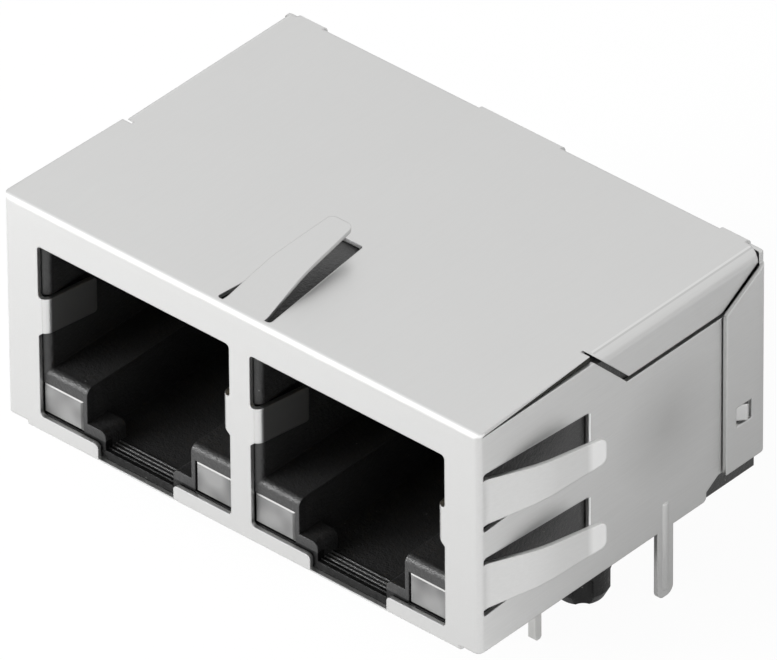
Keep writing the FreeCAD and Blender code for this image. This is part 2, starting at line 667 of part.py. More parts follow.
def port_cavities(body):
    """The stepped cavities for the plugs, rounded at the mouth, with room for the shield's leaves."""
    wall, slot = "cavity_width / 2", "latch_slot_width / 2"
    mouth = f"{FRONT} - mouth_radius"
    cavities, recesses = [], []
    for port in SIDES:
        middle = port_middle(port)
        cavities.append([
            (f"{middle} - {slot}", "latch_floor"),
            (f"{middle} + {slot}", "latch_floor"),
            (f"{middle} + {slot}", "ledge_height"),
            (f"{middle} + {wall}", "ledge_height"),
            (f"{middle} + {wall}", "cavity_top"),
            (f"{middle} - {wall}", "cavity_top"),
            (f"{middle} - {wall}", "ledge_height"),
            (f"{middle} - {slot}", "ledge_height"),
        ])
        recesses.append(box(f"{middle} - {wall} - leaf_room", f"{middle} + {wall} + leaf_room",
                            mouth, "leaf_reach + leaf_inset"))
    pocket(body, "cavities", "XZ", mouth, "cavity_depth", cavities)
    front_now, wall_now = value(FRONT), value(wall)
    ceiling, ledge = value("cavity_top"), value("ledge_height")
    middles = [value(port_middle(port)) for port in SIDES]

    def across(edge):
        """How far both ends of an edge are from the middle of the nearest port."""
        ends = [vertex.Point.x for vertex in edge.Vertexes]
        middle = min(middles, key=lambda spot: abs(spot - ends[0]))
        return [abs(end - middle) for end in ends]

    chamfer(body, "ceiling_lead_in", "mouth_radius", lambda edge: (
        lies_at(edge, y=front_now, z=ceiling) and max(across(edge)) < wall_now + SNAP))
    fillet(body, "mouth", "mouth_radius", lambda edge: (
        lies_at(edge, y=front_now) and edge.BoundBox.ZMin > ledge - SNAP and min(across(edge)) > SNAP
        and (lies_at(edge, z=ledge) or edge.BoundBox.XLength < SNAP) and max(across(edge)) < wall_now + SNAP))
    pocket(body, "leaf_recesses", "XY", "leaf_bottom - leaf_inset", "leaf_top + leaf_inset", recesses)


def latch_slots(body):
    """The stops at the mouth of each latch slot and the ribs across its floor."""
    stops, ribs = [], []
    for port in SIDES:
        middle = port_middle(port)
        for side in SIDES:
            inner = f"{middle} + {side} * latch_stop_gap / 2"
            outer = f"{middle} + {side} * (latch_slot_width / 2 + lamp_gap)"
            stops.append([
                (inner, "latch_floor - lamp_gap"),
                (outer, "latch_floor - lamp_gap"),
                (outer, "latch_stop_height"),
                (inner, "latch_stop_height", "latch_stop_corner"),
            ])
        for count in range(1, RIBS + 1):
            start = f"{FRONT} + rib_pitch * {count}"
            ribs.append(box(f"{middle} - latch_stop_gap / 2 - lamp_gap", f"{middle} + latch_stop_gap / 2 + lamp_gap",
                            start, f"{start} + rib_width"))
    extrude(body, "latch_stops", "XZ", FRONT, f"{FRONT} + latch_stop_depth", stops)
    extrude(body, "floor_ribs", "XY", "latch_floor - rib_height", "latch_floor + rib_height", ribs)


def rear_bays(body):
    """The contact wells above the cavities and the bays behind them that take the contact carriers."""
    wells, bays = [], []
    for port in SIDES:
        middle = port_middle(port)
        wells.append(box(f"{middle} - well_width / 2", f"{middle} + well_width / 2",
                         "cavity_top - carrier_gap", "well_top"))
        half = "(carrier_width / 2 + carrier_gap)"
        bays.append(box(f"{middle} - {half}", f"{middle} + {half}",
                        "housing_bottom - carrier_gap", "carrier_top + carrier_gap"))
    pocket(body, "wells", "XZ", "well_start", "carrier_start", wells)
    pocket(body, "bays", "XZ", "carrier_start - carrier_gap", "shield_depth", bays)


def lamp_pockets(body):
    """The pocket of each lamp, open to the front, and a channel down to the board for each lead."""
    half, reach = "(lamp_width / 2 + lamp_gap)", "(lamp_lead_side / 2 + lamp_lead_gap)"
    rooms, channels = [], []
    for port in SIDES:
        for side in SIDES:
            middle = lamp_middle(port, side)
            rooms.append(box(f"{middle} - {half}", f"{middle} + {half}",
                             "lamp_bottom - lamp_gap", "lamp_top + lamp_gap"))
            channels += [box(f"{lead} - {reach}", f"{lead} + {reach}", "lamp_recess + lamp_length - lamp_gap",
                             f"lamp_lead_row + {reach}") for lead in lamp_leads(port, side)]
    pocket(body, "lamp_rooms", "XZ", f"{FRONT} - mouth_radius", "lamp_recess + lamp_length + lamp_gap", rooms)
    pocket(body, "lead_channels", "XY", "housing_bottom - lamp_gap", "lamp_top", channels)


def locating_pegs(body):
    """Two ribbed pegs with round shanks and tapered ends, and the stand-off feet."""
    pegs = [(f"{side} * peg_spacing / 2", "front_to_pegs", "peg_diameter / 2") for side in SIDES]
    extrude(body, "pegs", "XY", "-peg_length", "housing_bottom", circles=pegs)
    doc.recompute()
    end = value("-peg_length")
    taper = dress(body, "Chamfer", "peg_ends", "Size", "peg_lead_in", lambda edge: lies_at(edge, z=end))
    taper.ChamferType = "Two distances"
    taper.setExpression("Size2", bound("peg_end_inset"))
    offset = "(peg_diameter / 2 + peg_groove_offset) / sqrt(2)"
    grooves = [(f"{side} * peg_spacing / 2 + {across} * {offset}", f"front_to_pegs + {along} * {offset}",
                "peg_groove_radius") for side in SIDES for across in SIDES for along in SIDES]
    pocket(body, "peg_grooves", "XY", "-peg_length - peg_groove_offset", "-peg_shank", circles=grooves)
    feet = []
    for side in SIDES:
        middle = f"{side} * ({HALF} - foot_inset)"
        for place in ("flange_depth + foot_inset", "shield_depth - foot_inset"):
            feet.append(box(f"{middle} - foot_side / 2", f"{middle} + foot_side / 2",
                            f"{place} - foot_side / 2", f"{place} + foot_side / 2"))
    extrude(body, "feet", "XY", "0", "housing_bottom", feet)


def build_housing():
    body = new_body("housing")
    housing_block(body)
    port_cavities(body)
    latch_slots(body)
    rear_bays(body)
    lamp_pockets(body)
    locating_pegs(body)
    return body


def build_lamp(port, side):
    """The frosted body of a lamp, whose front face shows beside the latch slot."""
    body = new_body(f"lamp_{port_name(port)}_{side_name(side)}")
    middle = lamp_middle(port, side)
    extrude(body, "lens", "XZ", "lamp_recess", "lamp_recess + lamp_length", [
        box(f"{middle} - lamp_width / 2", f"{middle} + lamp_width / 2", "lamp_bottom", "lamp_top")])
    front_now = value("lamp_recess")
    chamfer(body, "lens_edge", "lamp_bevel", lambda edge: lies_at(edge, y=front_now))
    return body


def build_lamp_lead(port, side, number, middle):
    """A square lead from the back of a lamp, bent down through the board."""
    body = new_body(f"lamp_lead_{port_name(port)}_{side_name(side)}_{number}")
    back = "lamp_recess + lamp_length"
    half = "lamp_lead_side / 2"
    centre = "(lamp_bottom + lamp_top) / 2"
    point = "lamp_lead_side / 4"
    extrude(body, "bent_lead", "YZ", f"{middle} - {half}", f"{middle} + {half}", [[
        (back, f"{centre} - {half}"),
        (f"lamp_lead_row - {half}", f"{centre} - {half}"),
        (f"lamp_lead_row - {half}", f"-lamp_lead_length + {point}"),
        (f"lamp_lead_row - {half} + {point}", "-lamp_lead_length"),
        (f"lamp_lead_row + {half} - {point}", "-lamp_lead_length"),
        (f"lamp_lead_row + {half}", f"-lamp_lead_length + {point}"),
        (f"lamp_lead_row + {half}", f"{centre} + {half}", f"lamp_lead_side + {point}"),
        (back, f"{centre} + {half}"),
    ]])
    return body


def build_contact(port, index):
    """A stamped contact: spring leg, front bend, upper run, and a solder tail that steps sideways."""
    body = new_body(f"contact_{port_name(port)}_{index + 1}")
    place = index - (CONTACTS - 1) / 2
    middle = f"{port_middle(port)} + {place} * contact_pitch"
    tail_middle = f"{port_middle(port)} + {place} * tail_pitch"
    tail_row = "tail_row_front" if index % 2 == 0 else "tail_row_rear"
    behind, ahead = (f"{tail_row} {sign} contact_gauge / 2" for sign in "+-")
    upper = "contact_run + contact_gauge"
    turn = "(contact_run - contact_turn)"
    slope = f"(({turn} - contact_free_height) / (contact_free_end - contact_nose))"
    skin = f"contact_gauge * (sqrt(1 + {slope} ^ 2) - {slope})"
    inner_bend = "contact_bend_radius - contact_gauge"
    extrude(body, "spring", "YZ", f"{middle} - contact_width / 2", f"{middle} + contact_width / 2", [[
        (behind, upper),
        ("contact_nose", upper, "contact_bend_radius"),
        ("contact_nose", turn, "contact_bend_radius"),
        ("contact_free_end", "contact_free_height"),
        ("contact_free_end", f"contact_free_height + {skin} + contact_gauge * {slope}"),
        ("contact_nose + contact_gauge", f"{turn} + {skin}", inner_bend),
        ("contact_nose + contact_gauge", "contact_run"),
        (ahead, "contact_run"),
        (ahead, "contact_step_top"),
        (behind, "contact_step_top"),
    ]])
    half, tail_half = "contact_width / 2", "contact_tail_width / 2"
    point = "contact_tail_width / 4"
    step_end = "contact_step_top - contact_step"
    extrude(body, "solder_tail", "XZ", ahead, behind, [[
        (f"{middle} - {half}", "contact_step_top + contact_gauge"),
        (f"{middle} - {half}", "contact_step_top"),
        (f"{tail_middle} - {tail_half}", step_end),
        (f"{tail_middle} - {tail_half}", f"-contact_tail_length + {point}"),
        (f"{tail_middle} - {tail_half} + {point}", "-contact_tail_length"),
        (f"{tail_middle} + {tail_half} - {point}", "-contact_tail_length"),
        (f"{tail_middle} + {tail_half}", f"-contact_tail_length + {point}"),
        (f"{tail_middle} + {tail_half}", step_end),
        (f"{middle} + {half}", "contact_step_top"),
        (f"{middle} + {half}", "contact_step_top + contact_gauge"),
    ]])
    return body


def build_carrier(port, contacts):
    """The block moulded round a port's contacts, with a nose over their upper runs."""
    name = f"contact_carrier_{port_name(port)}"
    body = new_body(f"{name}_moulding")
    middle = port_middle(port)
    half = "carrier_width / 2"
    back = "shield_depth - sheet_gauge - housing_gap"
    extrude(body, "carrier_block", "XY", "housing_bottom", "carrier_top", [
        box(f"{middle} - {half}", f"{middle} + {half}", "carrier_start", back)])
    nose = "(well_width / 2 - carrier_gap)"
    extrude(body, "carrier_nose", "XZ", "well_start + carrier_gap", "carrier_start + carrier_gap", [
        box(f"{middle} - {nose}", f"{middle} + {nose}", "contact_run + contact_gauge", "carrier_top")])
    wires = doc.addObject("Part::Compound", f"{name}_wires")
    wires.Links = contacts
    carrier = doc.addObject("Part::Cut", name)
    carrier.Label = name
    carrier.Base = body
    carrier.Tool = wires
    return carrier


def build_jack():
    """Builds every piece and gives back those that are written out."""
    pieces = [build_shield(), build_housing()]
    for port in SIDES:
        for side in SIDES:
            pieces.append(build_lamp(port, side))
            for number, middle in enumerate(lamp_leads(port, side), start=1):
                pieces.append(build_lamp_lead(port, side, number, middle))
        contacts = [build_contact(port, index) for index in range(CONTACTS)]
        pieces += contacts
        pieces.append(build_carrier(port, contacts))
    doc.recompute()
    return pieces


def check(pieces):
    """Stops on an object that failed to build or a piece that isn't one valid solid."""
    for item in doc.Objects:
        if {"Invalid", "Error"} & set(item.State):
            raise RuntimeError(f"{item.Label} failed: {item.State}")
    for piece in pieces:
        shape = piece.Shape
        if shape.isNull() or not shape.isValid() or len(shape.Solids) != 1:
            raise RuntimeError(f"{piece.Label} isn't one valid solid")


pieces = build_jack()
check(pieces)
os.makedirs("parts", exist_ok=True)
for piece in pieces:
    piece.Shape.exportStep(f"parts/{piece.Label}.step")
    bounds = piece.Shape.BoundBox
    print(f"{piece.Label}: {piece.Shape.Volume:.2f} mm3, Z {bounds.ZMin:.2f} to {bounds.ZMax:.2f}")
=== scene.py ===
# %% [markdown]
# # A two-port board jack in sheet metal and black polymer
#
# The object is a small connector: a folded metal sheet round a black moulding with two
# ports side by side, soldered to a circuit board. Its shapes come ready made from a packed
# model, so this lesson is about the other half of the work: camera, finishes and light.
#
# Everything in the scene is in metres, and one millimetre is a thousandth of that. X runs
# across the ports, Y from the plug side to the rear, and Z up from the board.

# %% Load the model
import math
from collections import namedtuple

import bpy
from mathutils import Matrix, Vector


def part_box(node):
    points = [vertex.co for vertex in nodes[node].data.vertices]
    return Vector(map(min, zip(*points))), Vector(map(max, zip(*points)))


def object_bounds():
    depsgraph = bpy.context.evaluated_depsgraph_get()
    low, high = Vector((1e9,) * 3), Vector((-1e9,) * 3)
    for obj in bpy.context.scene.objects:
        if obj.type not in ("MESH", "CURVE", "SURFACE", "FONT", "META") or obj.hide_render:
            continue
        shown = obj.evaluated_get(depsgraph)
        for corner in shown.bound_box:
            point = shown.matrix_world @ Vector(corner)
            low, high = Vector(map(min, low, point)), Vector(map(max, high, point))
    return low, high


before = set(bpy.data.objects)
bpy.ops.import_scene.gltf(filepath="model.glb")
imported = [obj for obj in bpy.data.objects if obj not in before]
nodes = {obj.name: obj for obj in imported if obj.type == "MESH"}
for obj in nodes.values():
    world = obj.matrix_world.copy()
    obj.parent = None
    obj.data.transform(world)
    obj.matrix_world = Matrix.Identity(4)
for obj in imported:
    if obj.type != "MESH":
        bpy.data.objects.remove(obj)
model_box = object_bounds()
MM = 0.001
print(f"{len(nodes)} pieces, box {model_box}")

# %% [markdown]
# ## The camera
#
# The picture was taken with a long lens from the right, in front and above, so parallel
# edges stay almost parallel. Three turns and a distance describe such a camera better than
# a list of coordinates: yaw round the vertical, pitch down to the object, and a small roll.
# Two small steps, to the side and up, then bring the object to its place in the frame, so
# the lens needs no shift.

# %% Turn the camera
YAW, PITCH, ROLL = (math.radians(angle) for angle in (41.816, 35.691, -0.455))
AIM = Vector((0, -0.7, 6.45)) * MM
DISTANCE = 919.864 * MM
SIDE_STEP, UP_STEP = 0.6063 * MM, 0.5783 * MM

flat = math.cos(PITCH)
forward = Vector((-math.sin(YAW) * flat, math.cos(YAW) * flat, -math.sin(PITCH)))
level = Vector((math.cos(YAW), math.sin(YAW), 0))
upright = level.cross(forward)
right = math.cos(ROLL) * level + math.sin(ROLL) * upright
up = math.cos(ROLL) * upright - math.sin(ROLL) * level
stand = AIM + right * SIDE_STEP + up * UP_STEP - forward * DISTANCE
turn = Matrix((right, up, -forward)).transposed()
print(f"camera at {tuple(round(length / MM) for length in stand)} mm")

# %% [markdown]
# The lens is known in pixels: how far the picture's plane lies behind the lens, measured in
# the picture's own pixels. A sensor 36 mm wide turns that into millimetres.

# %% Make the camera
PICTURE_WIDTH = 777
FOCAL_PIXELS = 18749.2
SENSOR = 36.0

camera_data = bpy.data.cameras.new("camera")
camera_data.sensor_width = SENSOR
camera_data.lens = FOCAL_PIXELS * SENSOR / PICTURE_WIDTH
camera = bpy.data.objects.new("camera", camera_data)
camera.matrix_world = Matrix.Translation(stand) @ turn.to_4x4()
bpy.context.scene.collection.objects.link(camera)
bpy.context.scene.camera = camera
print(f"lens {camera_data.lens:.0f} mm")

# %% [markdown]
# ## Writing shader maths as Python
#
# A material is a small program of nodes. Wiring each Math node by hand hides the idea, so a
# thin wrapper lets an expression such as `1 - mask * 0.3` add the nodes itself. The
# reflected methods, such as `__rsub__`, are what make `1 - mask` work. A comparison gives a
# mask, which is 1 where it holds and 0 elsewhere, and masks multiply to mean "and". Colours
# and vectors must not pass through Math nodes, because these keep only one number, so they
# have methods of their own further down.

# %% A wrapped socket
class Wire:
    """An output socket, on which Python's arithmetic adds Math nodes."""

    def __init__(self, paint, socket):
        self.paint = paint
        self.socket = socket

    def math(self, operation, *values):
        return self.paint.node("ShaderNodeMath", {"operation": operation}, dict(enumerate(values)))

    def __add__(self, other):
        return self.math("ADD", self, other)

    def __radd__(self, other):
        return self.math("ADD", other, self)

    def __sub__(self, other):
        return self.math("SUBTRACT", self, other)

    def __rsub__(self, other):
        return self.math("SUBTRACT", other, self)

    def __mul__(self, other):
        return self.math("MULTIPLY", self, other)

    def __rmul__(self, other):
        return self.math("MULTIPLY", other, self)

    def __abs__(self):
        return self.math("ABSOLUTE", self)

    def above(self, limit):
        return self.math("GREATER_THAN", self, limit)

    def below(self, limit):
        return self.math("LESS_THAN", self, limit)

    def between(self, low, high):
        return self.above(low) * self.below(high)

# %% [markdown]
# ## Adding any node with one method
#
# Every other node is added in the same three steps: make it, set its settings, then fill
# its sockets. The settings come first, because some of them, such as a Mix node's data
# type, change which sockets there are. A colour ramp's stops are a setting too. A socket
# takes either a plain value or a Wire.

# %% A node tree being filled
class Paint:
    """A node tree that is filled one node at a time."""

    def __init__(self, tree):
        self.tree = tree
        tree.nodes.clear()

    def node(self, kind, settings=None, sockets=None, output=0):
        """Adds a node, its settings first, then the values or wires of its sockets."""
        node = self.tree.nodes.new(kind)
        for name, setting in (settings or {}).items():
            if name == "stops":
                self.set_stops(node.color_ramp, setting)
            else:
                setattr(node, name, setting)
        for key, value in (sockets or {}).items():
            if isinstance(value, Wire):
                self.tree.links.new(value.socket, node.inputs[key])
            else:
                node.inputs[key].default_value = value
        return Wire(self, node.outputs[output]) if node.outputs else None

    @staticmethod
    def set_stops(ramp, stops):
        while len(ramp.elements) < len(stops):
            ramp.elements.new(1.0)
        for element, (position, tone) in zip(ramp.elements, stops):
            element.position = position
            element.color = (tone, tone, tone, 1)

# %% [markdown]
# ## The patterns that a finish needs
#
# All finishes here are made of the same few patterns, so these become methods with lengths
# in millimetres. Patterns follow Object coordinates. The pieces sit at the scene's origin
# with no scale, so those coordinates are places on the real object, and a mark can be put
# where the real one is. `profile` turns a value into a tone through a few chosen points,
# and `rounded` lets light catch an edge that is sharp in the model but not on the object.

# %% Patterns in millimetres
Spot = namedtuple("Spot", "across along height")


class Finish(Paint):
    """A material that is built up from patterns, with its lengths in millimetres."""

    def coordinates(self, stretch=(1, 1, 1)):
        """The place on the object, with the share of each axis that a pattern follows."""
        spot = self.node("ShaderNodeTexCoord", output="Object")
        scale = tuple(share / MM for share in stretch)
        return self.node("ShaderNodeVectorMath", {"operation": "MULTIPLY"}, {0: spot, 1: scale})

    def spot(self):
        """The place across the ports, along them and above the board, as three Wires."""
        parts = self.node("ShaderNodeSeparateXYZ", None, {0: self.coordinates()})
        return Spot(*(Wire(self, socket) for socket in parts.socket.node.outputs))

    def noise(self, per_mm, stretch=(1, 1, 1), detail=2.0, roughness=0.5):
        sockets = {"Vector": self.coordinates(stretch), "Scale": per_mm, "Detail": detail,
                   "Roughness": roughness}
        return self.node("ShaderNodeTexNoise", None, sockets)

    def ramp(self, value, stops):
        return self.node("ShaderNodeValToRGB", {"stops": stops}, {"Fac": value})

    def profile(self, value, points):
        """A tone that follows a value through (value, tone) points, and is level beyond them."""
        start = points[0][0]
        span = points[-1][0] - start
        stops = [((position - start) / span, tone) for position, tone in points]
        return self.ramp((value - start) * (1 / span), stops)

    def mix(self, factor, first, second):
        """Blends two colours, each a Wire or written as (r, g, b)."""
        first, second = (c if isinstance(c, Wire) else (*c, 1) for c in (first, second))
        # A Mix node has sockets for every data type. Its colours are inputs 6 and 7 and output 2.
        sockets = {0: factor, 6: first, 7: second}
        return self.node("ShaderNodeMix", {"data_type": "RGBA"}, sockets, output=2)

    def rounded(self, radius):
        """A normal that turns over each sharp edge as if it were rounded off."""
        return self.node("ShaderNodeBevel", {"samples": 6}, {"Radius": radius * MM})

    def bump(self, height, depth, strength, normal=None):
        sockets = {"Height": height, "Distance": depth * MM, "Strength": strength}
        if normal is not None:
            sockets["Normal"] = normal
        return self.node("ShaderNodeBump", None, sockets)

    def surface(self, **sockets):
        """Ends the material in one Principled surface."""
        named = {name.replace("_", " "): value for name, value in sockets.items()}
        shader = self.node("ShaderNodeBsdfPrincipled", None, named)
        self.node("ShaderNodeOutputMaterial", None, {"Surface": shader})

# %% Start a material
def new_material(name):
    """An empty material and the Finish that fills it."""
    material = bpy.data.materials.new(name)
    material.use_nodes = True
    return material, Finish(material.node_tree)

# %% [markdown]
# ## The plated sheet
#
# The shield is thin copper alloy with a satin nickel plating. A metal shows almost only
# what it reflects, so its colour is the tint of its reflections, and its roughness decides
# how blurred these are.
#
# A stamped and folded part also has marks at fixed places, and some places get painted
# highlights and painted shade. Most are too small to model, so each is a mask worked out
# from the place on the sheet, with the tone that the tint takes there. The places are measured
# from three of its faces: the front, the top and the outside
# of a side wall. The model's box reaches further than the top and the walls, because the
# spring fingers stand out of them.

# %% Faces of the sheet
SIDE_REACH, TOP_REACH = 1.55, 1.45
FRONT = model_box[0][1] / MM
WALL = model_box[1][0] / MM - SIDE_REACH
TOP = model_box[1][2] / MM - TOP_REACH
print(f"front {FRONT:.2f}, wall {WALL:.2f}, top {TOP:.2f} mm")

# %% [markdown]
# ### Rolling marks, a painted reflection and painted highlights
#
# Rolling leaves fine streaks along the strip. A noise gives them that follows Y far less
# than X and Z, so that its spots are drawn out along Y. The streaks show more clearly on
# the side walls than on the top, and there the mask is stronger. The right wall has one
# broad grey patch, a painted dark reflection, which a smeary noise makes uneven. The spring
# fingers' free ends get a painted highlight.

# %% Grain, patch and finger ends
TOP_GRAIN, WALL_GRAIN = 0.045, 0.13
PAINTED_REFLECTION_MIDDLE = (WALL, 3.2, 6.8)
TIP_LIGHT_START, TIP_LIGHT_FULL = -4.3, -3.9


def rolled_grain(paint, spot, streaks):
    wall = abs(spot.across).above(WALL - 0.2)
    strength = TOP_GRAIN + wall * (WALL_GRAIN - TOP_GRAIN)
    return paint.ramp(streaks, [(0.3, 0), (0.7, 1)]) * strength


# Painted reflection: a broad darker patch on the right wall.
def painted_reflection_patch(paint, smear):
    distance = paint.node("ShaderNodeVectorMath", {"operation": "DISTANCE"},
                          {0: paint.coordinates(), 1: PAINTED_REFLECTION_MIDDLE}, output="Value")
    fading = paint.profile(distance, [(0.25, 0.42), (1.75, 0.25), (4.0, 0)])
    return fading * (0.6 + smear * 0.8)


# Painted highlight: the spring fingers' free ends are made brighter.
def painted_tip_highlight(paint, spot):
    free_end = paint.profile(spot.along, [(TIP_LIGHT_START, 0), (TIP_LIGHT_FULL, 1)])
    return abs(spot.across).above(WALL + 0.4) * free_end

# %% [markdown]
# ### Painted light and shade at the cuts and folds
#
# Each punched window's rear edge faces the light, and a white rim is painted there as its
# highlight. Where the bend of the top's side flap starts, a pale line is painted as its
# highlight and a dark line as its shade. The front bend has a painted highlight line. Just
# under the top, where it meets a side wall, the gap that opens towards the rear is painted
# dark as its shade. Inside the ports the sheet has little but black polymer to reflect, so a
# darker painted reflection is put there.

# %% Window rims, a painted highlight
FINGER_LEVELS = (9.32, 4.29)
WINDOW_DOWN, WINDOW_UP = 1.23, 1.14
WINDOW_END, RIM, RIM_DEPTH = -2.55, 0.08, 0.07


# Painted highlight: a white rim on each window's rear edge.
def painted_rim_highlights(spot):
    upper, lower = (spot.height.between(level - WINDOW_DOWN, level + WINDOW_UP)
                    for level in FINGER_LEVELS)
    edge = spot.along.between(WINDOW_END - RIM, WINDOW_END + RIM)
    return abs(spot.across).above(WALL - RIM_DEPTH) * edge * (upper + lower)

# %% Painted bend lines, port reflection, seam shade and bend highlight
GAUGE, HAIR = 0.25, 0.05
FLAP_START = -1.85
SEAM_START, SEAM_END, SEAM_SLOPE = FRONT + 0.35, -2.0, 0.0296
BEND_DEPTH = 0.46


def painted_flap_bend_line(spot, outer, inner):
    """A painted line along the top's flap, between two distances inside the wall's face, used once
    for the bend's highlight and once for its shade.
    """
    on_flap = spot.along.above(FLAP_START) * spot.height.above(TOP - 0.2)
    return abs(spot.across).between(WALL - inner, WALL - outer) * on_flap


# Painted reflection: the sheet is made darker inside the ports.
def port_inside(spot):
    within = abs(spot.across).below(WALL - 0.6) * spot.height.below(TOP - 0.4)
    return within * spot.along.above(FRONT + 0.4)


def painted_seam_shade(spot):
    """Painted shade in the gap under the top's edge, from a hair inside the sheet's inner faces
    outwards.
    """
    gap_top = TOP - GAUGE + (spot.along - SEAM_START) * SEAM_SLOPE
    gap = spot.height.above(TOP - GAUGE - HAIR) * spot.height.below(gap_top)
    length = spot.along.between(SEAM_START + HAIR, SEAM_END)
    return abs(spot.across).above(WALL - GAUGE - HAIR) * length * gap


# Painted highlight: a bright line along the front bend.
def painted_bend_highlight(paint, spot):
    points = [(TOP - 0.28, 0), (TOP - 0.18, 1), (TOP - 0.10, 1), (TOP - 0.02, 0)]
    return spot.along.below(FRONT + BEND_DEPTH) * paint.profile(spot.height, points)

# %% [markdown]
# ### The whole plating
#
# The tint starts as a slow change from front to rear. Then each mark, painted highlight and
# painted shade pulls it to a tone of its own, one after the other, so that a later one lies
# over an earlier one. The streaks also go into the roughness, and into a bump of less than
# two thousandths of a millimetre, which is enough to break up a reflection.

# %% Nickel plating
def nickel(tone):
    """A grey with a trace less blue."""
    return (tone, tone, tone - 0.005)


def plated_sheet():
    material, paint = new_material("plated_sheet")
    spot = paint.spot()
    streaks = paint.noise(7, stretch=(1.6, 0.07, 1.6), detail=3)
    speckle = paint.noise(22)
    smear = paint.noise(0.14, detail=3, roughness=0.6)
    dulling = 0.42 + smear * 0.16 - streaks * 0.08 + spot.along * 0.018 + spot.across * 0.008
    tint = paint.mix(dulling, nickel(0.67), nickel(0.60))
    # Real grain together with painted light: the patch, finger ends, window rims, flap lines, port
    # insides, seam and front bend are painted highlights, reflections and shade.
    marks_and_painted_light = [(rolled_grain(paint, spot, streaks), 0.45), (painted_reflection_patch(paint, smear), 0.38),
             (painted_tip_highlight(paint, spot), 0.82), (painted_rim_highlights(spot), 0.97),
             (painted_flap_bend_line(spot, 0.42, 0.52), 0.69), (painted_flap_bend_line(spot, 0.33, 0.41), 0.53),
             (port_inside(spot), 0.34), (painted_seam_shade(spot), 0.03),
             (painted_bend_highlight(paint, spot), 0.88)]
    for mask, tone in marks_and_painted_light:
        tint = paint.mix(mask, tint, nickel(tone))
    relief = streaks * 0.7 + speckle * 0.3
    paint.surface(Base_Color=tint, Metallic=1.0, Roughness=0.32 + smear * 0.06 + streaks * 0.03,
                  Normal=paint.bump(relief, 0.0016, 0.5, normal=paint.rounded(0.1)))
    return material

# %% [markdown]
# ## Black moulded polymer
#
# The housing and the contact carriers are glass-filled polymer, which is almost black with
# a dull shine. Glass fibres near the skin give pale specks, and where the melt carried more
# of them the colour is a little lighter. Grains of dust lie on it here and there: they are
# the middles of a few cells of a Voronoi pattern.

# %% Polymer colour
def fibre_colour(paint, tone):
    specks = paint.ramp(paint.noise(26, detail=1), [(0.62, 0), (0.74, 1)])
    flow = paint.noise(0.35, stretch=(1, 0.4, 1))
    pale = tone * 2.2
    return paint.mix(flow * 0.5 + specks * 0.25, (tone, tone, tone * 1.02), (pale, pale, pale))


def dust_grains(paint):
    grains = paint.node("ShaderNodeTexVoronoi", None, {"Vector": paint.coordinates(), "Scale": 1.3})
    return grains.below(0.05) * paint.noise(0.5, detail=1).above(0.52)

# %% [markdown]
# ### Holding the floor's reflection down
#
# However black the pigment is, its skin still reflects the bright floor, as any plastic
# does. The front faces, the lip below each latch slot and the pegs are darker than that on
# the real object. A share of Metallic paints that shade onto them, because a metal's
# reflection takes the tone of its colour, which is black here.

# %% Polymer
PEG_TOP, LIP_TOP, FRONT_DEPTH = 0.15, 1.25, 0.8
PEG_SHARE, LIP_SHARE, FRONT_SHARE = 0.6, 0.4, 0.2


# Painted shade: a share of Metallic darkens the front faces, lips and pegs.
def painted_shade_share(paint, mottle):
    spot = paint.spot()
    peg = spot.height.below(PEG_TOP)
    front = spot.along.below(FRONT + FRONT_DEPTH)
    lip = spot.height.between(PEG_TOP, LIP_TOP) * front
    return front * FRONT_SHARE + peg * PEG_SHARE + lip * (LIP_SHARE + mottle * 0.4)


def black_polymer(name, tone):
    material, paint = new_material(name)
    skin = paint.noise(11, detail=4, roughness=0.7)
    mottle = paint.noise(4.5, detail=3, roughness=0.6)
    colour = paint.mix(dust_grains(paint), fibre_colour(paint, tone), (0.16, 0.16, 0.155))
    relief = paint.bump(skin * 0.4 + mottle, 0.06, 0.7, normal=paint.rounded(0.08))
    paint.surface(Base_Color=colour, Roughness=0.27 + mottle * 0.2, Specular_IOR_Level=0.75,
                  Metallic=painted_shade_share(paint, mottle), Normal=relief)
    return material

# %% [markdown]
# ## Frosted lamps
#
# The lamps stay off in this part, so each is a grey, frosted block that swallows most of
# the light that enters it. A soft cloud makes it uneven. Its upper and lower edge at the
# front get a painted highlight, a brighter line. The edges are measured on one lamp of the
# model, because all four stand at the same height.

# %% Lamps
LAMP_RIM = 0.08
lamp_low, lamp_high = ([length / MM for length in corner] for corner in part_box("lamp_1_left"))
print(f"lamps from {lamp_low[2]:.2f} to {lamp_high[2]:.2f} mm, front at {lamp_low[1]:.2f} mm")


# Painted highlight: brighter upper and lower edges at each lamp's front.
def painted_lamp_edges(paint):
    spot = paint.spot()
    edges = spot.height.above(lamp_high[2] - LAMP_RIM) + spot.height.below(lamp_low[2] + LAMP_RIM)
    return spot.along.below(lamp_low[1] + 0.2) * edges


def frosted_lamp():
    material, paint = new_material("frosted_lamp")
    frost = paint.noise(18)
    cloud = paint.ramp(paint.noise(0.5, detail=1), [(0.38, 0), (0.62, 1)])
    colour = paint.mix(cloud, (0.05, 0.05, 0.05), (0.135, 0.135, 0.134))
    colour = paint.mix(painted_lamp_edges(paint), colour, (0.34, 0.34, 0.335))
    paint.surface(Base_Color=colour, Roughness=0.34 + frost * 0.14, Coat_Weight=0.15,
                  Coat_Roughness=0.2,
                  Normal=paint.bump(frost, 0.002, 0.4, normal=paint.rounded(0.07)))
    return material

# %% [markdown]
# ## Gold contacts and tinned leads
#
# The spring contacts are gold over nickel where a plug touches them. The lamps' leads are
# dipped in tin, which is whiter than the gold and less even. One noise each is enough for
# such thin wires: it changes the colour, the roughness and the bump together.

